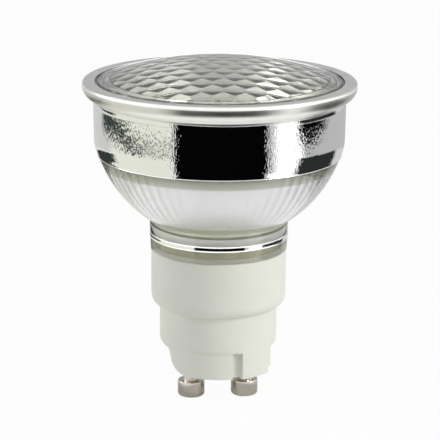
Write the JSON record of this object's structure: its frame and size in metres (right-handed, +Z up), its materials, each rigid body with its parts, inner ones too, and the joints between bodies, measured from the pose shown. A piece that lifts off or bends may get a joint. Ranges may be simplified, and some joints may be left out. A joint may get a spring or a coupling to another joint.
{
  "type": "metal halide reflector lamp",
  "caption": "Reflector lamp with a patterned domed front lens, a ceramic metal halide burner and a ceramic base with twist-lock contact pins.",
  "frame": {"origin": "midway between the ends of the two contact pins, in the plane of their ends", "axes": "+Z runs up the lamp's axis from the pins to the lens; X runs through both pins, with the square side of the base's socket end at +X"},
  "size_m": [0.05, 0.05, 0.0638],
  "materials": {
    "lens_glass": "clear pressed glass, fire polished",
    "ring_metal": "spun, satin",
    "reflector_glass": "pressed glass with a mirror coating",
    "base_ceramic": "matt white steatite",
    "pin_metal": "nickel plated, slightly dull",
    "cement": "matt, porous",
    "quartz": "clear quartz",
    "arc_ceramic": "translucent alumina",
    "frit": "fused glass",
    "electrode_metal": "drawn tungsten and niobium",
    "foil_metal": "rolled molybdenum",
    "wire_metal": "drawn wire",
    "getter_metal": "pressed powder, matt"
  },
  "bodies": {
    "root": {"front_lens": "lens_glass", "retaining_ring": "ring_metal", "reflector": "reflector_glass", "ceramic_base": "base_ceramic", "contact_pin_left": "pin_metal", "contact_pin_right": "pin_metal", "cement_fill": "cement", "quartz_jacket": "quartz", "arc_tube": "arc_ceramic", "frit_seal_lower": "frit", "frit_seal_upper": "frit", "electrode_lower": "electrode_metal", "electrode_upper": "electrode_metal", "foil_left": "foil_metal", "foil_right": "foil_metal", "short_lead": "wire_metal", "frame_wire": "wire_metal", "lead_wire_left": "wire_metal", "lead_wire_right": "wire_metal", "getter": "getter_metal"}
  },
  "joints": []
}
